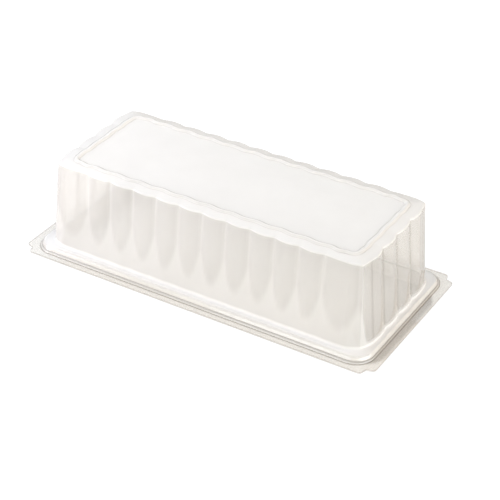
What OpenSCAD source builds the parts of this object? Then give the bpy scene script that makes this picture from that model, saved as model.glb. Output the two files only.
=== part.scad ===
// Humidity dome tray: a clear fluted thermoformed dome that lifts off a
// shallow white tray. Millimetres, +Z up. The origin is the centre of the
// tray's flat underside, X runs along the length and Y across the width.

/* [Footprint] */
// Length over the die-cut flanges
flange_length = 260; // [258.5:0.5:264]
// Width over the die-cut flanges
flange_width = 124; // [123:0.5:127]
// Setback of the notch tips from the square corner of the flange
tip_setback = 8.4; // [8:0.1:8.8]
// Setback of the bottom of the corner notch, along each edge
notch_setback = 5.3; // [4.6:0.1:5.8]

/* [Tray] */
// Height of the flange's upper face above the surface the tray rests on
flange_top = 6; // [5:0.5:9]
// Sheet thickness of the tray
tray_sheet = 0.6; // [0.5:0.05:0.7]
// Height of the tray's rim bead above its flange
tray_bead_h = 3.3; // [2.8:0.1:3.4]

/* [Dome] */
// Height of the flat top panel above the flange
dome_h = 63; // [50:1:80]
// Sheet thickness of the dome
dome_sheet = 0.5; // [0.4:0.05:0.6]
// Height of the ledge that laps over the tray's bead, above the flange
ledge_h = 4; // [3.9:0.1:4.6]
// How much each wall leans out from the shoulder down to the ledge
wall_draft = 3.8; // [2.8:0.1:4]

/* [Flutes] */
// Pitch of the flutes on the long walls
flute_pitch = 17.2; // [16.8:0.1:17.4]
// Depth of the flutes
flute_depth = 2; // [1:0.1:2.2]
// Height of the rounded feet of the long walls' flutes above the flange
foot_h = 14; // [13:1:18]

/* [Top bead] */
// Height of the wavy bead that runs round the top panel
ridge_h = 1.2; // [0.6:0.1:1.6]
// Width of that bead across its feet
ridge_width = 4.3; // [3.6:0.1:4.8]

/* [Lift] */
// Gap left between the two flanges when the dome is seated
seat_gap = 0.05; // [0.02:0.01:0.1]

/* [Hidden] */
$fn = 96;

// Corner signs, anticlockwise from +X +Y
corners = [[1, 1], [-1, 1], [-1, -1], [1, -1]];

// Rim and flange
rim = [110.9, 43.4];      // centre of the +X +Y rim corner arc
flange_reach = [flange_length / 2, flange_width / 2] - rim;  // square corner from rim
split_angle = 14;         // where the straight edges beside a notch are split
tray_floor_r = 4;         // edge of the floor plate, from the rim arc centre
tray_flange_r = 12.6;     // inner edge of the tray's flange plate, likewise

// Fluted wall
long_flutes = 12;         // flutes on a long wall
flute_segments = 3;       // segments across one flute
end_valley = 18.5;        // valley either side of an end wall's middle
long_valley = (long_flutes / 2 - 1) * flute_pitch;   // outermost valley of a long wall
core = [long_flutes / 2 * flute_pitch, 34.2];        // centre of the corner column
end_valleys = [-core.y, -end_valley, 0, end_valley, core.y];
wall_r = 8.8;             // corner radius of the wall at the shoulder
shoulder_h = dome_h - 1.3;
long_fade = 34;           // height above the feet over which the plain long wall recedes
end_plain_h = 14;         // height at which the plain end wall meets the valleys
end_fade = 6;             // height over which it gets there

// Top bead
ridge_core = [97.5, 29.3];   // centre of its corner arc
ridge_r = 5.9;               // corner radius of its centre line
ridge_foot = ridge_width / 2;
ridge_wave = 1.5;            // depth of its waves

// ---------- notched flange corner, from the rim arc centre ----------
// One notch tip: setbacks from the square corner, along X and along Y.
tip = [[0, tip_setback], [0.5, tip_setback - 1.4], [1.8, tip_setback - 2.1]];
// From the end edge round the notch to the long edge.
notch = concat(
    [for (p = tip) flange_reach - p],
    [flange_reach - [notch_setback, notch_setback]],
    [for (i = [2:-1:0]) flange_reach - [tip[i].y, tip[i].x]]);
// The same with two points on the straight run at each side.
corner_edge = concat(
    [[flange_reach.x, 0], [flange_reach.x, flange_reach.x * tan(split_angle)]],
    notch,
    [[flange_reach.y * tan(split_angle), flange_reach.y], [0, flange_reach.y]]);

function signed(signs, p) = [signs.x * p.x, signs.y * p.y];
// corners +X +Y and -X -Y run from end wall to long wall, the other two back
function end_first(signs) = signs.x * signs.y > 0;

function flange_outline() = [for (signs = corners) for (i = [0:6])
    signed(signs, rim + notch[end_first(signs) ? i : 6 - i])];

// ---------- outward bulge of the flutes ----------
// u runs 0 to 1 across a flute
function lobe(u) = 4 * u * (1 - u);
function soft_wave(u) = (1 - cos(360 * u)) / 2;
// outermost flute of a long wall, from its inner valley out: it runs on into the corner
function long_last(u) = 3.05 * u - 2.1 * u * u;
// outermost flute of an end wall, from the corner in: a shallow valley at the corner
function end_last(u) = 0.35 * (1 - u) + 0.825 * lobe(u);
// corner column, by angle from the end wall: a point at its middle
function corner_bulge(angle) = angle < 45 ? 0.35 + 0.6 * pow(angle / 45, 2.2) :
    let (q = (90 - angle) / 45) 0.95 - 2.7 * q * q * (1 - q);
function end_bulge(j, u) = j == 0 ? end_last(u) : j == 3 ? end_last(1 - u) : lobe(u);
function long_bulge(j, u) = j == 0 ? long_last(1 - u) :
    j == long_flutes - 1 ? long_last(u) : lobe(u);

// ---------- stations round the dome, anticlockwise from the +X side ----------
// Kinds of station
END = 0;
LONG = 1;
CORNER = 2;
// Columns of a station
KIND = 0;
SIGNS = 1;       // side or corner it stands on
SPOT = 2;        // coordinate along a wall, or the corner's point of corner_edge
FLUTE = 3;       // flute bulge
SOFT = 4;        // soft wave bulge
LONG_SHARE = 5;  // 0 on an end wall, 1 on a long wall, between them at a corner

function end_side(side) =
    [for (j = [0:3]) for (k = [0:flute_segments - 1])
        let (u = k / flute_segments,
            y = end_valleys[j] + u * (end_valleys[j + 1] - end_valleys[j]))
        [END, [side, side], side * y, end_bulge(j, u), soft_wave(u), 0]];
function long_side(side) =
    [for (j = [0:long_flutes - 1]) for (k = [0:flute_segments - 1])
        let (u = k / flute_segments, x = core.x - (j + u) * flute_pitch)
        [LONG, [side, side], side * x, long_bulge(j, u), soft_wave(u), 1]];
// the last point of a corner is the first station of the wall that follows
function corner(signs) = let (last = len(corner_edge) - 1)
    [for (i = [0:last - 1])
        let (p = corner_edge[end_first(signs) ? i : last - i], angle = atan2(p.y, p.x))
        [CORNER, signs, p, corner_bulge(angle), 0.5 * soft_wave(angle / 90),
            pow(sin(angle), 2)]];
stations = concat(
    end_side(1), corner(corners[0]), long_side(1), corner(corners[1]),
    end_side(-1), corner(corners[2]), long_side(-1), corner(corners[3]));

// ---------- rings of the dome, heights above the tray flange's upper face ----------
// the outermost spans stretch or shrink to meet another ring's corner centre
function stretch(a, inner, from, to) = abs(a) <= inner ? a :
    sign(a) * (inner + (abs(a) - inner) * (to - inner) / (from - inner));

// station s pushed out by radius r from a ring with this corner centre
function place(s, centre, r, h) = let (spot = s[SPOT], signs = s[SIGNS], z = flange_top + h)
    s[KIND] == END ?
        [signs.x * (centre.x + r), stretch(spot, end_valley, core.y, centre.y), z] :
    s[KIND] == LONG ?
        [stretch(spot, long_valley, core.x, centre.x), signs.y * (centre.y + r), z] :
    concat(signed(signs, centre + r * spot / norm(spot)), [z]);

// unfluted ring: radius on the end walls and on the long walls, depth of the soft wave
function ring(h, centre, end_r, long_r, wave = 0) =
    [for (s = stations)
        place(s, centre, end_r + (long_r - end_r) * s[LONG_SHARE] + wave * s[SOFT], h)];
function ridge_ring(h, dr) = ring(h, ridge_core, ridge_r + dr, ridge_r + dr, ridge_wave);

// fluted wall; where the plain drafted wall stands proud it wins
function lean(h) = wall_draft * (shoulder_h - h) / (shoulder_h - ledge_h);
function plain_long(h) = flute_depth * pow(max(0, (foot_h + long_fade - h) / long_fade), 2);
function plain_end(h) = flute_depth * min(1, (end_plain_h - h) / end_fade);
function fluted_r(s, h) = wall_r + lean(h) + max(flute_depth * s[FLUTE],
    plain_long(h) * s[LONG_SHARE] + plain_end(h) * (1 - s[LONG_SHARE]));
// dr and dz shift the ring off the wall's outer face
function wall_ring(h, dr, dz = 0) =
    [for (s = stations) place(s, core, fluted_r(s, h) + dr, h + dz)];

// outer edge of the flange, with the notched corners
function edge_ring(h) = [for (s = stations)
    s[KIND] == END ? place(s, rim, flange_reach.x, h) :
    s[KIND] == LONG ? place(s, rim, flange_reach.y, h) :
    concat(signed(s[SIGNS], rim + s[SPOT]), [flange_top + h])];

// Outer skin from the flange edge to the top panel.
function outer_rings() = let (flange = seat_gap + dome_sheet) [
    edge_ring(flange),
    ring(flange, rim, 13.4, 14.5),
    ring(flange + 1.0, rim, 13.0, 14.1),
    ring(flange + 1.05, rim, 12.3, 12.9),
    ring(ledge_h - 0.5, rim, 11.6, 11.8),
    ring(ledge_h, rim, 11.0, 11.2),
    wall_ring(ledge_h, 1.0),
    wall_ring(ledge_h + 1.2, 0),
    wall_ring(foot_h, 0),
    wall_ring(foot_h + 8, 0),
    wall_ring(foot_h + 24, 0),
    wall_ring(shoulder_h - 1.3, 0),
    wall_ring(shoulder_h + 0.3, -0.45),
    wall_ring(shoulder_h + 0.8, -1.5),
    ridge_ring(dome_h, ridge_foot),
    ridge_ring(dome_h + ridge_h, 0),
    ridge_ring(dome_h, -ridge_foot)];
// Inner skin, about one sheet thickness in; it runs flat under the top bead.
function inner_rings() = let (sheet = dome_sheet) [
    edge_ring(seat_gap),
    ring(seat_gap, rim, 12.95, 14.05),
    ring(seat_gap + 1.0, rim, 12.0, 12.6),
    ring(ledge_h - 0.65, rim, 11.6 - sheet, 11.8 - sheet),
    ring(ledge_h - sheet, rim, 10.85, 11.05),
    wall_ring(ledge_h, 0.8, -sheet),
    wall_ring(ledge_h + 1.2, -sheet, -0.6 * sheet),
    wall_ring(foot_h, -sheet),
    wall_ring(foot_h + 8, -sheet),
    wall_ring(foot_h + 24, -sheet),
    wall_ring(shoulder_h - 1.3, -sheet),
    wall_ring(shoulder_h + 0.8, -1.7, -sheet),
    ridge_ring(dome_h - sheet, ridge_foot)];

// ---------- dome: one thermoformed sheet ----------
function quad(a, b, c, d) = [[a, b, c], [a, c, d]];

module dome() {
    outer = outer_rings();
    inner = inner_rings();
    outer_last = len(outer) - 1;
    inner_last = len(inner) - 1;
    count = len(stations);
    top_centre = (len(outer) + len(inner)) * count;
    under_centre = top_centre + 1;
    points = concat(
        [for (r = outer) each r],
        [for (r = inner) each r],
        [[0, 0, flange_top + dome_h], [0, 0, flange_top + dome_h - dome_sheet]]);
    // point index of ring k, station j on either skin
    function out(k, j) = k * count + j % count;
    function in(k, j) = out(len(outer) + k, j);
    faces = concat(
        [for (k = [0:outer_last - 1]) for (j = [0:count - 1])
            each quad(out(k, j), out(k + 1, j), out(k + 1, j + 1), out(k, j + 1))],
        [for (k = [0:inner_last - 1]) for (j = [0:count - 1])
            each quad(in(k, j), in(k, j + 1), in(k + 1, j + 1), in(k + 1, j))],
        [for (j = [0:count - 1])   // cut edge of the flange
            each quad(out(0, j), out(0, j + 1), in(0, j + 1), in(0, j))],
        [for (j = [0:count - 1]) [top_centre, out(outer_last, j + 1), out(outer_last, j)]],
        [for (j = [0:count - 1]) [under_centre, in(inner_last, j), in(inner_last, j + 1)]]);
    color([0.93, 0.93, 0.91, 0.45])
        polyhedron(points = points, faces = faces, convexity = 12);
}

// ---------- tray: one thermoformed sheet ----------
// Section of the tray's rim: [radius from the rim arc centre, height],
// out along the underside, then back along the upper face.
function tray_section() =
    let (sheet = tray_sheet, flange = flange_top, bead = flange_top + tray_bead_h) [
    [3.4, 0], [5.2, 0], [5.7, 0.35], [5.9, 0.9],
    [6.7, bead - sheet - 0.4], [7.0, bead - sheet],
    [9.8, bead - sheet], [10.1, bead - sheet - 0.4],
    [11.0, flange - 0.1], [11.5, flange - sheet], [13.2, flange - sheet],
    [13.2, flange], [12.1, flange], [11.8, flange + 0.15],
    [10.75, bead - 0.45], [10.2, bead], [6.6, bead], [6.1, bead - 0.5],
    [5.25, 1.1], [4.9, sheet + 0.1], [4.5, sheet], [3.4, sheet]];

module tray_rim() {
    for (i = [0:3])
        translate([corners[i].x * rim.x, corners[i].y * rim.y, 0])
            rotate([0, 0, 90 * i])
                rotate_extrude(angle = 90) polygon(tray_section());
    for (turn = [0, 180]) rotate([0, 0, turn]) {
        translate([rim.x, rim.y, 0]) rotate([90, 0, 0])
            linear_extrude(2 * rim.y) polygon(tray_section());
        translate([-rim.x, rim.y, 0]) rotate([90, 0, 90])
            linear_extrude(2 * rim.x) polygon(tray_section());
    }
}

// rounded rectangle that shares the rim's corner centres
module rounded(r) {
    square([2 * (rim.x + r), 2 * rim.y], center = true);
    square([2 * rim.x, 2 * (rim.y + r)], center = true);
    for (signs = corners) translate(signed(signs, rim)) circle(r);
}

module tray() {
    color([0.97, 0.96, 0.94]) {
        tray_rim();
        linear_extrude(tray_sheet) rounded(tray_floor_r);
        translate([0, 0, flange_top - tray_sheet]) linear_extrude(tray_sheet) difference() {
            polygon(flange_outline());
            rounded(tray_flange_r);
        }
    }
}

tray();
dome();
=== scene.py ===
# A clear formed dome with columned walls and a beaded top, seated on a shallow white tray.
# The long way lies along X, the front faces -Y and the tray's underside rests at z = 0.
# Shapes are worked out in millimetres; the stage, lights and scene are in metres.
import math

import bmesh
import bpy
import numpy as np
from mathutils import Matrix, Vector


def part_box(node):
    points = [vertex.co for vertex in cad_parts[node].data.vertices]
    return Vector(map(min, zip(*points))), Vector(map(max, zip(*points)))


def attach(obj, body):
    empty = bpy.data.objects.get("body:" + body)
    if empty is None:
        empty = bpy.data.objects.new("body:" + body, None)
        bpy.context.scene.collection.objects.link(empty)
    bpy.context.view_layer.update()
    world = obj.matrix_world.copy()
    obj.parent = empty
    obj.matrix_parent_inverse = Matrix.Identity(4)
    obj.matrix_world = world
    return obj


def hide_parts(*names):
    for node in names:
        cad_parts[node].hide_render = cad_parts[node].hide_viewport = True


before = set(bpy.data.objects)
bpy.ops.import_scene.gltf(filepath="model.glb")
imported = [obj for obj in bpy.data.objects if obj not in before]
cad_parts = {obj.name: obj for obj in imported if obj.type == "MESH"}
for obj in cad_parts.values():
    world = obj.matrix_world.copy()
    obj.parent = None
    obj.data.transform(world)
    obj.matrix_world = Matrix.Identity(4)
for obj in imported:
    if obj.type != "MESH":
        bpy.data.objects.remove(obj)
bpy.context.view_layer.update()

# ---------------------------------------------------------------- sizes, in millimetres
MM = 1000.0                                 # millimetres in a metre
tray_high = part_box("tray")[1]
dome_low, dome_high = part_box("dome")
HALF_LENGTH = tray_high.x * MM              # of the flanges
HALF_WIDTH = tray_high.y * MM
SEAT = dome_low.z * MM                      # underside of the dome's flange
WELL = SEAT - 0.05                          # upper face of the tray's flange
TOP = dome_high.z * MM                      # crest of the bead on the top panel
PANEL = TOP - 1.2                           # flat top panel
TRAY_BEAD = tray_high.z * MM                # top of the tray's rim bead
LEDGE_RISE = 4.0                            # ledge at the foot of the dome's wall, above WELL
LEDGE = WELL + LEDGE_RISE
SHOULDER = PANEL - WELL - 1.3               # shoulder of the dome's wall, above WELL
DOME_SHEET, TRAY_SHEET = 0.42, 0.55         # sheet thicknesses

BAYS = 12                                   # columns along a long wall
PITCH = 17.2                                # their spacing
END_CREASE = 18.5                           # y of an end wall's outer inner-crease
COLUMN_DEPTH = 2.0
PER_BAY = 12                                # stations to a bay
CREASE_ROUND = 0.035                        # rounding of a crease, as a share of a bay

# centres of the corner arcs, at three levels
WALL_CORE = (BAYS // 2 * PITCH, 34.2)
RIM_CORE = (110.9, 43.4)
PANEL_CORE = (97.5, 29.3)
EDGE_X = HALF_LENGTH - RIM_CORE[0]          # from the rim's arc centre to the outer edge
EDGE_Y = HALF_WIDTH - RIM_CORE[1]

WALL_RADIUS = 8.8                           # corner radius of the wall at the shoulder
DRAFT = 3.8                                 # how far the wall leans out from shoulder to ledge
END_DRAFT_EXTRA = 0.34                      # extra share of that lean on the end walls
PLAIN_FULL, PLAIN_RUN = 14.0, 34.0          # plain long wall: full depth here, gone a run higher
BEAD_RADIUS = 5.9                           # bead on the top panel, about PANEL_CORE

NOTCH_RUN, NOTCH_DEPTH = 8.4, 5.3           # notch across each corner of the flanges
# half of the notch: inset from EDGE_X, inset from EDGE_Y, reach of the rounding
HALF_NOTCH = [
    (0.0, 10.4, 0.2),
    (0.0, NOTCH_RUN, 1.2),
    (0.35, NOTCH_RUN - 1.35, 1.0),
    (1.6, NOTCH_RUN - 2.15, 1.0),
    (NOTCH_DEPTH, NOTCH_DEPTH, 0.9),
]
# heights of the rings up the dome's wall, above WELL
WALL_HEIGHTS = [
    6.0, 7.5, 9, 10.5, 12, 13.2, 14.4, 15.6, 16.8, 18, 19.3, 20.6, 22, 23.5, 25, 27, 29, 31, 33,
    35.5, 38, 40.5, 43.5, 46.5, 49.5, 53, 56.5, 59.5,
]

# milkiness of one face of the sheet, 0 clear to 1 white: thick undrawn plastic is milky
HAZE_FLANGE, HAZE_STEP, HAZE_RIM, HAZE_TOP = 0.03, 0.30, 0.80, 0.58
HAZE_PLAIN, HAZE_COLUMN, HAZE_END_COLUMN = 0.39, 0.275, 0.155
HAZE_BEAD_FLANK, HAZE_TRAY = 0.46, 0.95
EDGE_SHADE = 0.35                            # painted dark outline along the cut edge, the bend shade given to the outermost ring


def smoothstep(start, end, x):
    t = np.clip((x - start) / (end - start), 0, 1)
    return t * t * (3 - 2 * t)


def smooth_max(a, b, width):
    return 0.5 * (a + b + np.sqrt((a - b) ** 2 + width * width))


def mix(start, end, share):
    return start + (end - start) * share


def round_off(profile, limit):
    """Round the inner corners of a run of points, or of whole rings of points.

    profile: (point or ring, (reach, steps) of its rounding or None). A rounding takes up
    at most the share `limit` of the lengths beside it.
    """
    keys = [key for key, _ in profile]
    result = [keys[0]]
    for i, (corner, rounding) in enumerate(profile[1:-1], 1):
        if rounding is None:
            result.append(corner)
            continue
        reach, steps = rounding
        tangents = []
        for neighbour in (keys[i - 1], keys[i + 1]):
            offset = neighbour - corner
            length = np.linalg.norm(offset, axis=-1, keepdims=True)
            tangents.append(corner + offset / length * np.minimum(reach, limit * length))
        start, end = tangents
        for k in range(steps + 1):
            t = k / steps
            result.append((1 - t) ** 2 * start + 2 * t * (1 - t) * corner + t * t * end)
    result.append(keys[-1])
    return result


# ---------------------------------------------------------------- stations round a sheet
def bearings(points):
    return np.degrees(np.arctan2(points[:, 1], points[:, 0]))


def corner_outline():
    """The flange's notched corner about RIM_CORE, from the X side to the Y side, with bearings."""
    insets = HALF_NOTCH + [(y, x, reach) for x, y, reach in HALF_NOTCH[-2::-1]]
    profile = [(np.array([EDGE_X, 0.0]), None)]
    profile += [(np.array([EDGE_X - x, EDGE_Y - y]), (reach, 3)) for x, y, reach in insets]
    profile.append((np.array([0.0, EDGE_Y]), None))
    coarse = np.array(round_off(profile, limit=0.45))
    # more stations where the notch leaves gaps wider than 3 degrees
    points = [coarse[0]]
    for start, end, gap in zip(coarse, coarse[1:], np.diff(bearings(coarse))):
        pieces = max(1, math.ceil(gap / 3.0))
        points += [start + (end - start) * k / pieces for k in range(1, pieces + 1)]
    points = np.array(points)
    angles = bearings(points)
    keep = np.concatenate([[True], np.diff(angles) > 1e-4])
    return points[keep], angles[keep]


CORNER_POINTS, CORNER_BEARINGS = corner_outline()
END, SIDE, CORNER = 0, 1, 2                 # kinds of station


def station_rows():
    """Stations anticlockwise from the +X end.

    Columns: kind, sign of x, sign of y, distance along the wall, bearing in degrees,
    share of the way across the bay, share of long wall, index in CORNER_POINTS, bay.
    """
    # closer together beside each crease
    across = (1 - np.cos(np.pi * np.arange(PER_BAY) / PER_BAY)) / 2
    creases = [-WALL_CORE[1], -END_CREASE, 0, END_CREASE, WALL_CORE[1]]
    rows = []
    # each quarter: an end or a long wall, then the corner after it
    for kind, sign, corner_x, corner_y in (
            (END, 1, 1, 1), (SIDE, 1, -1, 1), (END, -1, -1, -1), (SIDE, -1, 1, -1)):
        for bay in range(4 if kind == END else BAYS):
            for u in across:
                if kind == END:
                    along = sign * mix(creases[bay], creases[bay + 1], u)
                    rows.append((END, sign, sign, along, 0, u, 0.0, -1, bay))
                else:
                    along = sign * (WALL_CORE[0] - (bay + u) * PITCH)
                    rows.append((SIDE, sign, sign, along, 90, u, 1.0, -1, bay))
        last = len(CORNER_BEARINGS) - 1
        for i in (range(last) if corner_x * corner_y > 0 else range(last, 0, -1)):
            angle = CORNER_BEARINGS[i]
            share = math.sin(math.radians(angle)) ** 2
            rows.append((CORNER, corner_x, corner_y, 0, angle, angle / 90.0, share, i, -1))
    return rows


class Stations:
    """The stations, the shape of the columns at each, and the rings they trace."""

    def __init__(self):
        (self.kind, self.sign_x, self.sign_y, self.along, bearing, across,
         self.side_share, corner_index, bay) = np.array(station_rows(), float).T
        self.angle = np.radians(bearing)
        self.corner = self.kind == CORNER
        self.corner_index = corner_index[self.corner].astype(int)
        self.to_crease = np.minimum(across, 1 - across)
        self.soft = (1 - np.cos(2 * np.pi * across)) / 2
        self.soft[self.corner] *= 0.5
        corner_bearing = bearing[self.corner]
        near_end = corner_bearing < 45
        from_side = np.clip((90 - corner_bearing) / 45, 0, 1)
        self.shape_columns(across, bay, corner_bearing, near_end, from_side)
        self.share_sheet(across, bay, corner_bearing, near_end, from_side)

    def shape_columns(self, across, bay, corner_bearing, near_end, from_side):
        """flute: how far the columns stand out, as a share of COLUMN_DEPTH."""
        v = np.sqrt(self.to_crease ** 2 + CREASE_ROUND ** 2)
        self.flute = 4 * v * (1 - v)
        # the outermost columns of a long wall run on into the corners
        for number, q in ((0, 1 - across), (BAYS - 1, across)):
            m = (self.kind == SIDE) & (bay == number)
            q = np.sqrt(q ** 2 + CREASE_ROUND ** 2)
            self.flute[m] = (0.45 * (1 - (1 - q) ** 4))[m]
        # those of an end wall meet the corners in a shallow valley
        for number, q in ((0, across), (3, 1 - across)):
            m = (self.kind == END) & (bay == number)
            self.flute[m] = (0.35 * (1 - q) + 0.825 * 4 * q * (1 - q))[m]
        # the corner columns come to an arris at 45 degrees
        self.flute[self.corner] = np.where(
            near_end, 0.35 + 0.85 * (corner_bearing / 45) ** 2.6, 0.45 + 0.75 * from_side ** 2.6)

    def share_sheet(self, across, bay, corner_bearing, near_end, from_side):
        """zone: where the sheet is drawn thin; front: share of long wall for the milkiness."""
        self.zone = 4 * self.to_crease * (1 - self.to_crease)
        # the last bay of a long wall reaches on to the arris
        extra = 8.0
        wide = PITCH + extra
        for number, q in ((0, 1 - across), (BAYS - 1, across)):
            m = (self.kind == SIDE) & (bay == number)
            q = q * PITCH / wide
            self.zone[m] = (4 * q * (1 - q))[m]
        q = (PITCH + extra * from_side) / wide
        self.zone[self.corner] = np.where(
            near_end, 0.22 + 0.5 * (1 - smoothstep(22, 45, corner_bearing)),
            np.maximum(4 * q * (1 - q), 0.22))
        self.front = self.side_share.copy()
        self.front[self.corner] = smoothstep(5, 45, corner_bearing)

    def slide(self, inner, outer, new_outer):
        """Distances along the wall, stretched beyond `inner` so that `outer` lands elsewhere."""
        distance = np.abs(self.along)
        stretched = inner + (distance - inner) * (new_outer - inner) / (outer - inner)
        return np.where(distance <= inner, self.along, np.sign(self.along) * stretched)

    def place(self, core, radius, z):
        """The ring at a radius about the corner centres `core`."""
        x = np.where(self.kind == SIDE, self.slide(WALL_CORE[0] - PITCH, WALL_CORE[0], core[0]),
                     self.sign_x * (core[0] + radius * np.cos(self.angle)))
        y = np.where(self.kind == END, self.slide(END_CREASE, WALL_CORE[1], core[1]),
                     self.sign_y * (core[1] + radius * np.sin(self.angle)))
        return np.stack([x, y, np.full(len(x), z)], 1)

    def edge(self, z):
        """The outer edge of the flanges, with its notched corners."""
        ring = self.place(RIM_CORE, np.where(self.kind == SIDE, EDGE_Y, EDGE_X), z)
        signs = np.stack([self.sign_x, self.sign_y], 1)[self.corner]
        ring[self.corner, :2] = signs * (RIM_CORE + CORNER_POINTS[self.corner_index])
        return ring

    def blend(self, at_end, at_side):
        return mix(at_end, at_side, self.side_share)


stations = Stations()


# ---------------------------------------------------------------- sheets from rings
def formed_rings(profile, shrinks):
    """Rings of a sheet from its outer edge inwards, the last one drawn in by each of `shrinks`."""
    rings = round_off(profile, limit=0.48)
    # a ring close to the outer edge keeps its shading crisp
    step = rings[1] - rings[0]
    rings.insert(1, rings[0] + step * (0.35 / np.linalg.norm(step, axis=1, keepdims=True)))
    last = rings[-1]
    return rings + [last * np.array([s, s, 1.0]) for s in shrinks]


def grid_normals(grid):
    """Unit normals of a (rings, stations, 3) grid that closes round the stations."""
    around = np.roll(grid, -1, 1) - np.roll(grid, 1, 1)
    inward = np.empty_like(grid)
    inward[1:-1] = grid[2:] - grid[:-2]
    inward[0] = grid[1] - grid[0]
    inward[-1] = grid[-1] - grid[-2]
    normals = np.cross(around, inward)
    return normals / np.maximum(np.linalg.norm(normals, axis=2, keepdims=True), 1e-12)


def under_face(skin, thickness):
    under = skin - grid_normals(skin) * thickness
    under[0] = skin[0] - np.array([0, 0, thickness])
    return under


def bends(grid, hollow, rounded):
    """Painted shade at the bends: how sharply the sheet turns from ring to ring, painted darker
    the sharper it turns, hollow bends most.
    """
    segments = grid[1:] - grid[:-1]
    lengths = np.maximum(np.linalg.norm(segments, axis=2), 1e-6)
    along = segments / lengths[..., None]
    turn = np.arccos(np.clip((along[1:] * along[:-1]).sum(2), -1, 1))
    turn /= 0.5 * (lengths[1:] + lengths[:-1]) + 0.05
    sign = ((along[1:] - along[:-1]) * grid_normals(grid)[1:-1]).sum(2)
    bend = np.zeros(grid.shape[:2])
    bend[1:-1] = smoothstep(0.25, 1.2, turn) * np.where(sign > 0, hollow, rounded)
    return bend


def shell_mesh(name, skin, under, **fields):
    """A closed sheet from two grids, each finished with a centre point.

    fields: point attributes, one value per point of a grid, given to both grids alike.
    """
    ring_count, n = skin.shape[:2]
    co = np.concatenate([skin.reshape(-1, 3), skin[-1].mean(0)[None],
                         under.reshape(-1, 3), under[-1].mean(0)[None]])
    half = ring_count * n + 1
    k, j = np.meshgrid(np.arange(ring_count - 1), np.arange(n), indexing="ij")
    k, j = k.ravel(), j.ravel()
    j_next = (j + 1) % n
    a, b, c, d = k * n + j, k * n + j_next, (k + 1) * n + j_next, (k + 1) * n + j
    upper = np.stack([a, b, c, d], 1)
    lower = np.stack([a, d, c, b], 1) + half
    j = np.arange(n)
    j_next = (j + 1) % n
    edge = np.stack([j, j + half, j_next + half, j_next], 1)
    quads = np.concatenate([upper, lower, edge])
    inner = (ring_count - 1) * n + j
    inner_next = (ring_count - 1) * n + j_next
    centre = np.full(n, half - 1)
    tris = np.concatenate([np.stack([inner, inner_next, centre], 1),
                           np.stack([inner_next, inner, centre], 1) + half])

    mesh = bpy.data.meshes.new(name)
    mesh.vertices.add(len(co))
    mesh.vertices.foreach_set("co", (co / MM).astype(np.float32).ravel())
    mesh.loops.add(quads.size + tris.size)
    corners = np.concatenate([quads.ravel(), tris.ravel()])
    mesh.loops.foreach_set("vertex_index", corners.astype(np.int32))
    mesh.polygons.add(len(quads) + len(tris))
    starts = np.concatenate([np.arange(len(quads)) * 4, quads.size + np.arange(len(tris)) * 3])
    mesh.polygons.foreach_set("loop_start", starts.astype(np.int32))
    mesh.update(calc_edges=True)
    mesh.validate(verbose=False)
    mesh.polygons.foreach_set("use_smooth", np.ones(len(mesh.polygons), bool))
    for field, grid in fields.items():
        values = np.concatenate([grid.ravel(), [grid[-1].mean()]])
        attribute = mesh.attributes.new(field, "FLOAT", "POINT")
        attribute.data.foreach_set("value", np.tile(values, 2).astype(np.float32))
    shell = bpy.data.objects.new(name, mesh)
    bpy.context.scene.collection.objects.link(shell)
    sharpen_edges(mesh, math.radians(50))
    return shell


def sharpen_edges(mesh, angle):
    bm = bmesh.new()
    bm.from_mesh(mesh)
    for edge in bm.edges:
        if len(edge.link_faces) == 2 and edge.calc_face_angle(0.0) > angle:
            edge.smooth = False
    bm.to_mesh(mesh)
    bm.free()


# ---------------------------------------------------------------- dome
def wall_depths(height, columns, side_share):
    """How far the columned wall and the plain wall stand out from the drafted base."""
    # the end walls' columns die away at the ledge
    fade = 1 - 0.5 * (1 - stations.side_share) * (1 - smoothstep(4, 13, height))
    columned = COLUMN_DEPTH * (columns * fade + 0.85 * (1 - fade))
    wave = 0.3 * (stations.soft - 0.5) * (1 - smoothstep(4, 16, height))
    rise = max((PLAIN_FULL + PLAIN_RUN - height) / PLAIN_RUN, 0)
    plain_side = COLUMN_DEPTH * max(rise ** 2, 0.13) + wave
    plain_end = COLUMN_DEPTH * min(0.25, (7 - height) / 8) - 0.35
    return columned, mix(plain_end, plain_side, side_share)


def wall_ring(height, extra=0.0):
    lean = DRAFT * (SHOULDER - height) / (SHOULDER - LEDGE_RISE)
    base = WALL_RADIUS + lean * (1 + END_DRAFT_EXTRA * (1 - stations.side_share))
    columned, plain = wall_depths(height, stations.flute, stations.side_share)
    radius = base + smooth_max(columned, plain - 0.10, 0.55)
    return stations.place(WALL_CORE, radius + extra, WELL + height)


def split_ledge(rings):
    """Add three rings across the widest gap on the ledge."""
    def gap_width(i):
        if any(abs(float(ring[:, 2].mean()) - LEDGE) >= 0.3 for ring in rings[i:i + 2]):
            return 0.0
        return float(np.linalg.norm(rings[i + 1] - rings[i], axis=1).mean())

    widest = max(range(1, 40), key=gap_width)
    outer, inner = rings[widest:widest + 2]
    rings[widest + 1:widest + 1] = [mix(outer, inner, t) for t in (0.25, 0.5, 0.75)]


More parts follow.
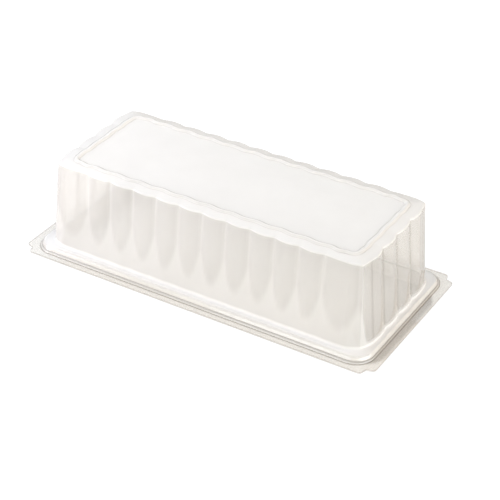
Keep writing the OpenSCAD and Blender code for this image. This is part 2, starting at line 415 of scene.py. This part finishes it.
def dome_skin():
    place, blend = stations.place, stations.blend
    flange = SEAT + DOME_SHEET
    profile = [
        (stations.edge(flange), None),
        (place(RIM_CORE, blend(13.4, 14.5), flange), (0.5, 3)),
        (place(RIM_CORE, blend(13.0, 14.1), flange + 1.0), (0.45, 4)),
        (place(RIM_CORE, blend(12.3, 12.9), flange + 1.05), (0.5, 3)),
        (place(RIM_CORE, blend(11.3, 11.5), LEDGE), (1.3, 6)),
        (wall_ring(LEDGE_RISE, 0.1), (1.5, 5)),
    ]
    profile += [(wall_ring(height), None) for height in WALL_HEIGHTS]
    profile.append((wall_ring(SHOULDER + 0.35), (1.0, 6)))
    # the bead on the top echoes the columns faintly; offset across it, z, rounding
    echo = blend(0.5, 1.1) * stations.soft + 0.3
    for offset, z, rounding in ((2.15, PANEL, (0.45, 3)), (0.75, TOP, (0.7, 4)),
                                (-0.75, TOP, (0.7, 4)), (-2.15, PANEL, (0.45, 3))):
        profile.append((place(PANEL_CORE, BEAD_RADIUS + offset + echo, z), rounding))
    profile.append((place(PANEL_CORE, 1.2 + 0.6 * echo, PANEL - 0.02), None))
    rings = formed_rings(profile, shrinks=(0.93, 0.84, 0.72, 0.58, 0.42, 0.25, 0.1))
    split_ledge(rings)
    skin = np.stack(rings)

    # a formed sheet is never quite flat: slow waves on the top panel, dying out at its edges
    x, y, z = skin[..., 0], skin[..., 1], skin[..., 2]
    waves = 0.10 * np.sin(x / 31.0 + 0.6) * np.cos(y / 22.0 - 0.4)
    waves += 0.06 * np.sin(x / 14.0 - 1.1 + y / 19.0)
    on_top = smoothstep(PANEL - 1.0, PANEL - 0.2, z)
    inside = smoothstep(0, 14, 112 - np.abs(x)) * smoothstep(0, 10, 43 - np.abs(y))
    skin[..., 2] = np.minimum(z - on_top * (0.16 - waves * 0.9) * inside, TOP)
    return skin


def dome_haze(skin, ring_height, first_wall):
    """Milkiness: high on the rim and the top, low on the drawn columns."""
    haze = np.full(skin.shape[:2], HAZE_TOP)
    near_middle = np.abs(stations.along) < 1
    mid_side = int(np.argmax((stations.kind == SIDE) & near_middle))
    mid_end = int(np.argmax((stations.kind == END) & near_middle))
    for i, height in enumerate(ring_height[:-1]):
        if i < first_wall:
            out_side = np.abs(skin[i, mid_side, 1])
            out_end = np.abs(skin[i, mid_end, 0]) - HALF_LENGTH + HALF_WIDTH
            on_rim = stations.blend(smoothstep(55.0, 51.5, out_end),
                                    smoothstep(55.0, 52.6, out_side))
            haze[i] = mix(HAZE_FLANGE, HAZE_STEP, smoothstep(0.3, 0.8, height))
            haze[i] += (HAZE_RIM - HAZE_STEP) * on_rim
        elif height < SHOULDER + 0.2:
            columned, plain = wall_depths(min(height, SHOULDER), stations.zone, stations.front)
            inside = smoothstep(-0.45, 0.55, columned - plain) * smoothstep(4, 9, height)
            wall = mix(HAZE_PLAIN, stations.blend(HAZE_END_COLUMN, HAZE_COLUMN), inside)
            wall = mix(wall, HAZE_RIM, 1 - smoothstep(4.2, 6.0, height))
            haze[i] = mix(wall, HAZE_TOP, smoothstep(SHOULDER - 0.8, SHOULDER + 0.1, height))
    # the flanks of the bead on the top are drawn thin
    chord = skin[2:] - skin[:-2]
    slope = np.abs(chord[..., 2]) / np.maximum(np.linalg.norm(chord[..., :2], axis=2), 1e-6)
    flank = smoothstep(0.25, 0.6, slope) * (ring_height[1:-1, None] > SHOULDER + 1.0)
    haze[1:-1] = mix(haze[1:-1], HAZE_BEAD_FLANK, flank)
    return haze


def dome_bend(skin, ring_height, first_wall):
    # painted shade at the dome's bends, weakened on the wall between ledge and shoulder
    bend = bends(skin, hollow=0.55, rounded=0.10)
    bend[(ring_height > 3.0) & (ring_height < SHOULDER)] *= 0.2
    # painted shade: narrow dark lines down the creases between the columns of the end walls
    crease_shade = np.exp(-(stations.to_crease / 0.045) ** 2) * (1 - stations.side_share)
    height = ring_height[first_wall:, None]
    crease_shade = 0.22 * crease_shade * smoothstep(4.5, 9, height)
    crease_shade = crease_shade * (1 - smoothstep(SHOULDER - 3, SHOULDER + 0.3, height))
    bend[first_wall:] = np.maximum(bend[first_wall:], crease_shade)
    # painted dark outline along the dome's cut edge
    bend[0] = EDGE_SHADE
    return bend


def build_dome():
    skin = dome_skin()
    ring_height = (skin[..., 2] - WELL).mean(axis=1)
    first_wall = int(np.argmax(ring_height > 4.3))
    return shell_mesh("dome_shell", skin, under_face(skin, DOME_SHEET),
                      haze=dome_haze(skin, ring_height, first_wall),
                      bend=dome_bend(skin, ring_height, first_wall))


# ---------------------------------------------------------------- tray
def build_tray():
    place, blend = stations.place, stations.blend
    profile = [
        (stations.edge(WELL), None),
        (place(RIM_CORE, blend(12.0, 12.1), WELL), (0.6, 4)),
        (place(RIM_CORE, blend(10.65, 10.75), TRAY_BEAD), (0.9, 5)),
        (place(RIM_CORE, 6.2, TRAY_BEAD), (1.0, 5)),
        (place(RIM_CORE, 4.95, TRAY_SHEET), (1.6, 6)),
        (place(PANEL_CORE, 12.0, TRAY_SHEET), None),
    ]
    skin = np.stack(formed_rings(profile, shrinks=(0.9, 0.78, 0.64, 0.5, 0.36, 0.22, 0.1)))
    under = under_face(skin, TRAY_SHEET)
    under[..., 2] = np.maximum(under[..., 2], 0.0)
    # painted shade at the tray's bends
    bend = bends(skin, hollow=0.4, rounded=0.1)
    # painted dark outline along the tray's cut edge
    bend[0] = EDGE_SHADE
    # the flange is clear up to the rim bead, the rest is white
    first_bead = int(np.argmax((skin[..., 2] - WELL).mean(axis=1) > 0.5))
    haze = np.full(skin.shape[:2], HAZE_TRAY)
    haze[:first_bead] = HAZE_FLANGE
    return shell_mesh("tray_shell", skin, under, haze=haze, bend=bend)


# ---------------------------------------------------------------- materials
class Graph:
    """Short ways to add nodes to the shader tree of a material or world."""

    def __init__(self, owner):
        owner.use_nodes = True
        self.tree = owner.node_tree
        self.tree.nodes.clear()

    def add(self, kind, inputs=None, **settings):
        """inputs: socket name or index -> value, socket, or node whose first output is used."""
        new = self.tree.nodes.new(kind)
        for name, value in settings.items():
            setattr(new, name, value)
        for key, value in (inputs or {}).items():
            if isinstance(value, bpy.types.Node):
                value = value.outputs[0]
            if isinstance(value, bpy.types.NodeSocket):
                self.tree.links.new(value, new.inputs[key])
            else:
                new.inputs[key].default_value = value
        return new

    def maths(self, operation, a, b=None, clamp=False):
        inputs = {0: a} if b is None else {0: a, 1: b}
        return self.add("ShaderNodeMath", inputs, operation=operation, use_clamp=clamp).outputs[0]

    def between(self, share, low, high):
        inputs = {"Value": share, "To Min": low, "To Max": high}
        return self.add("ShaderNodeMapRange", inputs).outputs["Result"]

    def noise(self, vector, scale, detail, roughness):
        inputs = {"Vector": vector, "Scale": scale, "Detail": detail, "Roughness": roughness}
        return self.add("ShaderNodeTexNoise", inputs).outputs["Fac"]

    def dot(self, a, b):
        node = self.add("ShaderNodeVectorMath", {0: a, 1: b}, operation="DOT_PRODUCT")
        return node.outputs["Value"]

    def mix_colour(self, factor, a, b):
        inputs = {"A": a, "B": b, "Factor": factor}
        return self.add("ShaderNodeMix", inputs, data_type="RGBA").outputs["Result"]

    def mix_shader(self, factor, a, b):
        return self.add("ShaderNodeMixShader", {0: factor, 1: a, 2: b})


def sheet_material(name, milk_low, milk_high, clear_tint, rough_low, rough_high):
    """Formed plastic: clear film mixed with milk by the haze attribute, under a gloss, with
    painted shade at the bends from the bend shade attribute.

    milk_low, milk_high: milk colours the clouding runs between; clear_tint: share of red,
    green and blue that one face lets through; rough_low, rough_high: range of the gloss.
    """
    material = bpy.data.materials.new(name)
    g = Graph(material)
    maths = g.maths
    position = g.add("ShaderNodeTexCoord").outputs["Object"]
    geometry = g.add("ShaderNodeNewGeometry").outputs
    cosine = maths("ABSOLUTE", g.dot(geometry["Normal"], geometry["Incoming"]))
    # mirror share of one face, the same from both sides: 0.045 face on, rising to grazing
    graze = maths("POWER", maths("SUBTRACT", 1.0, cosine, clamp=True), 4.4)
    mirror = maths("ADD", maths("MULTIPLY", graze, 0.95), 0.045)

    # milkiness, slightly clouded, and less at the bends so that the painted bend shade shows there
    haze = g.add("ShaderNodeAttribute", attribute_name="haze").outputs["Fac"]
    bend = g.add("ShaderNodeAttribute", attribute_name="bend").outputs["Fac"]
    cloud = g.noise(position, scale=38.0, detail=4.0, roughness=0.55)
    grain = g.noise(position, scale=900.0, detail=2.0, roughness=0.6)
    haze = maths("MULTIPLY", haze, g.between(cloud, 0.965, 1.035))
    haze = maths("MULTIPLY", haze, g.between(bend, 1.0, 0.45))
    # seen aslant, the ray crosses more plastic
    slant = maths("DIVIDE", 1.0, maths("ADD", maths("MULTIPLY", cosine, 0.5), 0.5))
    unhazed = maths("POWER", maths("SUBTRACT", 1.0, haze, clamp=True), slant)
    haze = maths("SUBTRACT", 1.0, unhazed)

    # colour let through: deeper aslant from absorption in the sheet, and painted darker at the
    # bends as painted shade
    depth = maths("DIVIDE", 1.0, maths("ADD", maths("MULTIPLY", cosine, 0.85), 0.15))
    depth = maths("ADD", depth, maths("MULTIPLY", bend, 6.0))
    bend_shade_dim = g.between(bend, 1.0, 0.5)
    channels = {i: maths("MULTIPLY", maths("POWER", share, depth), bend_shade_dim)
                for i, share in enumerate(clear_tint)}
    clear = g.add("ShaderNodeBsdfTransparent",
                  {"Color": g.add("ShaderNodeCombineColor", channels)})

    # faint draw marks, stretched upwards
    stretched = g.add("ShaderNodeMapping", {"Vector": position, "Scale": (1.0, 1.0, 0.12)})
    marks = g.noise(stretched.outputs["Vector"], scale=160.0, detail=3.0, roughness=0.5)
    bump = g.add("ShaderNodeBump", {"Strength": 0.05, "Distance": 0.0001, "Height": marks})
    rough = maths("ADD", g.between(grain, rough_low, rough_high), maths("MULTIPLY", cloud, 0.03))
    gloss = g.add("ShaderNodeBsdfGlossy", {"Color": (1, 1, 1, 1), "Roughness": rough,
                                           "Normal": bump.outputs["Normal"]})

    tint = g.mix_colour(cloud, milk_low, milk_high)
    milk = g.mix_shader(0.4, g.add("ShaderNodeBsdfDiffuse", {"Color": tint}),
                        g.add("ShaderNodeBsdfTranslucent", {"Color": tint}))
    body = g.mix_shader(haze, clear, milk)
    g.add("ShaderNodeOutputMaterial", {"Surface": g.mix_shader(mirror, body, gloss)})
    return material


dome = build_dome()
tray = build_tray()
dome.data.materials.append(sheet_material(
    "clear_dome_sheet", milk_low=(0.955, 0.948, 0.93, 1), milk_high=(0.985, 0.98, 0.965, 1),
    clear_tint=(0.974, 0.965, 0.952), rough_low=0.045, rough_high=0.10))
tray.data.materials.append(sheet_material(
    "white_tray_sheet", milk_low=(0.94, 0.925, 0.90, 1), milk_high=(0.965, 0.95, 0.93, 1),
    clear_tint=(0.985, 0.98, 0.97), rough_low=0.22, rough_high=0.34))
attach(dome, "dome")
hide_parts("dome")
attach(tray, "tray")
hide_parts("tray")

# ---------------------------------------------------------------- floor, in metres
FLOOR_HALF, FLOOR_DROP = 12.0, 0.0002
CARD = (0.62, 0.615, 0.605, 1)              # floor colour under the tray and in reflections
LIT_CARD = (0.24, 0.24, 0.24, 1)            # floor colour where it also glows
GLOW = 0.84
SHADE_ROUND = 0.014                         # corner radius of the unlit patch under the tray
SHADE_INSET_X, SHADE_INSET_Y = 0.0055, 0.0165   # patch inside the flange's edge


def floor_material():
    """A card that, to the camera alone, glows everywhere but under the tray."""
    material = bpy.data.materials.new("floor")
    g = Graph(material)
    maths = g.maths
    card = g.add("ShaderNodeBsdfDiffuse", {"Color": CARD})
    position = g.add("ShaderNodeTexCoord").outputs["Object"]
    axes = g.add("ShaderNodeSeparateXYZ", {0: position}).outputs
    squares = []
    for axis, half, inset in (("X", HALF_LENGTH, SHADE_INSET_X), ("Y", HALF_WIDTH, SHADE_INSET_Y)):
        beyond = maths("SUBTRACT", maths("ABSOLUTE", axes[axis]), half / MM - inset - SHADE_ROUND)
        beyond = maths("MAXIMUM", beyond, 0.0)
        squares.append(maths("MULTIPLY", beyond, beyond))
    reach = maths("SQRT", maths("ADD", *squares))
    # 0 on the patch, 1 from 2 mm outside it
    away = maths("MULTIPLY", maths("SUBTRACT", reach, SHADE_ROUND), 500.0, clamp=True)
    # the strength set here is a resting value; the link made next drives it
    glow = g.add("ShaderNodeEmission", {"Color": (1, 1, 1, 1), "Strength": 0.75})
    g.tree.links.new(maths("MULTIPLY", away, GLOW), glow.inputs["Strength"])
    shown = g.add("ShaderNodeBsdfDiffuse", {"Color": g.mix_colour(away, CARD, LIT_CARD)})
    lit = g.add("ShaderNodeAddShader", {0: shown, 1: glow})
    to_camera = g.add("ShaderNodeLightPath").outputs["Is Camera Ray"]
    g.add("ShaderNodeOutputMaterial", {"Surface": g.mix_shader(to_camera, card, lit)})
    return material


def build_floor():
    material = floor_material()
    s = FLOOR_HALF
    mesh = bpy.data.meshes.new("floor")
    mesh.from_pydata([(-s, -s, 0), (s, -s, 0), (s, s, 0), (-s, s, 0)], [], [(0, 1, 2, 3)])
    floor = bpy.data.objects.new("floor", mesh)
    floor.location.z = -FLOOR_DROP
    bpy.context.scene.collection.objects.link(floor)
    mesh.materials.append(material)
    return floor


build_floor()

# ---------------------------------------------------------------- world
# a pale room of broad overlapping patches of light:
# elevation, azimuth from the front anticlockwise seen from above (degrees), colour
PATCHES = [
    (12, 0, (0.055, 0.000, 0.000)),
    (12, 45, (1.326, 1.268, 0.964)),
    (12, 90, (3.575, 3.744, 3.945)),
    (12, 135, (0.551, 0.256, 0.000)),
    (12, 180, (0.000, 0.000, 0.000)),
    (12, 225, (0.480, 0.482, 0.429)),
    (12, 270, (0.000, 0.000, 0.000)),
    (12, 315, (0.943, 1.030, 0.719)),
    (45, 0, (0.240, 0.186, 0.175)),
    (45, 60, (0.958, 1.008, 1.120)),
    (45, 120, (0.000, 0.000, 0.000)),
    (45, 180, (0.223, 0.194, 0.176)),
    (45, 240, (0.601, 0.758, 0.933)),
    (45, 300, (0.517, 0.541, 0.575)),
    (90, 0, (0.159, 0.079, 0.009)),
]
PATCH_FULL, PATCH_GONE = 4, 48              # degrees from a patch's centre


def toward(azimuth, elevation):
    """Unit direction; azimuth in radians from the front (-Y), anticlockwise seen from above."""
    return Vector((math.sin(azimuth) * math.cos(elevation),
                   -math.cos(azimuth) * math.cos(elevation),
                   math.sin(elevation)))


def build_world():
    """The patches light the scene; the camera itself sees plain white."""
    world = bpy.data.worlds.new("studio")
    bpy.context.scene.world = world
    g = Graph(world)
    direction = g.add("ShaderNodeTexCoord").outputs["Generated"]
    total = None
    for i, (elevation, azimuth, colour) in enumerate(PATCHES):
        centre = toward(math.radians(azimuth), math.radians(elevation)).normalized()
        falloff = g.add("ShaderNodeMapRange", {
            "Value": g.dot(direction, tuple(centre)),
            "From Min": math.cos(math.radians(PATCH_GONE)),
            "From Max": math.cos(math.radians(PATCH_FULL)),
            "To Min": 0.0, "To Max": 1.0}, interpolation_type="SMOOTHSTEP")
        patch = g.add("ShaderNodeVectorMath", {0: colour}, operation="SCALE", name="patch_%d" % i)
        g.tree.links.new(falloff.outputs["Result"], patch.inputs["Scale"])
        if total is None:
            total = patch
        else:
            total = g.add("ShaderNodeVectorMath", {0: total, 1: patch}, operation="ADD")
    room = g.add("ShaderNodeBackground", {"Color": total})
    white = g.add("ShaderNodeBackground", {"Color": (1, 1, 1, 1)})
    to_camera = g.add("ShaderNodeLightPath").outputs["Is Camera Ray"]
    g.add("ShaderNodeOutputWorld", {"Surface": g.mix_shader(to_camera, room, white)})


build_world()

# ---------------------------------------------------------------- lights, in metres and watts
LIGHT_TARGET = Vector((0, 0, 0.03))


def softbox(name, location, size, power, colour=(1, 1, 1)):
    light = bpy.data.lights.new(name, "AREA")
    light.shape = "RECTANGLE"
    light.size, light.size_y = size
    light.energy = power
    light.color = colour
    box = bpy.data.objects.new(name, light)
    box.location = location
    box.rotation_mode = "QUATERNION"
    box.rotation_quaternion = (LIGHT_TARGET - Vector(location)).to_track_quat("-Z", "Y")
    bpy.context.scene.collection.objects.link(box)


softbox("softbox_left", location=(-0.56, -0.36, 0.30), size=(0.42, 0.36), power=3.075,
        colour=(0.884, 0.834, 1.000))
softbox("softbox_front", location=(-0.10, -0.75, 0.40), size=(0.50, 0.40), power=1.520,
        colour=(0.853, 0.911, 1.000))
softbox("softbox_over", location=(-0.10, 0.25, 0.75), size=(0.60, 0.50), power=0.0)

# ---------------------------------------------------------------- camera
CAMERA_AZIMUTH, CAMERA_ELEVATION, CAMERA_ROLL = map(math.radians, (30.187, 33.212, -1.344))
CAMERA_DISTANCE = 1050.7                    # millimetres, along the view
TARGET_RIGHT, TARGET_UP = -8.29, -8.93      # where the target lies in the view, millimetres
TARGET_Z = WELL - 0.2
SENSOR_WIDTH, LENS = 36.0, 115.0704


def build_camera():
    back = toward(CAMERA_AZIMUTH, CAMERA_ELEVATION)
    level_right = Vector((math.cos(CAMERA_AZIMUTH), math.sin(CAMERA_AZIMUTH), 0))
    level_up = level_right.cross(-back)
    cos_roll, sin_roll = math.cos(CAMERA_ROLL), math.sin(CAMERA_ROLL)
    right = cos_roll * level_right - sin_roll * level_up
    up = sin_roll * level_right + cos_roll * level_up
    position = back * CAMERA_DISTANCE - right * TARGET_RIGHT - up * TARGET_UP
    position.z += TARGET_Z
    data = bpy.data.cameras.new("camera")
    data.sensor_width = SENSOR_WIDTH
    data.lens = LENS
    data.clip_start, data.clip_end = 0.05, 40.0
    camera = bpy.data.objects.new("camera", data)
    rows = [(right[i], up[i], back[i], position[i] / MM) for i in range(3)]
    camera.matrix_world = Matrix(rows + [(0, 0, 0, 1)])
    bpy.context.scene.collection.objects.link(camera)
    bpy.context.scene.camera = camera


build_camera()

scene = bpy.context.scene
scene.view_settings.view_transform = "Standard"
scene.view_settings.exposure = 0.0
scene.cycles.max_bounces = 14
scene.cycles.transparent_max_bounces = 32
scene.cycles.caustics_reflective = False
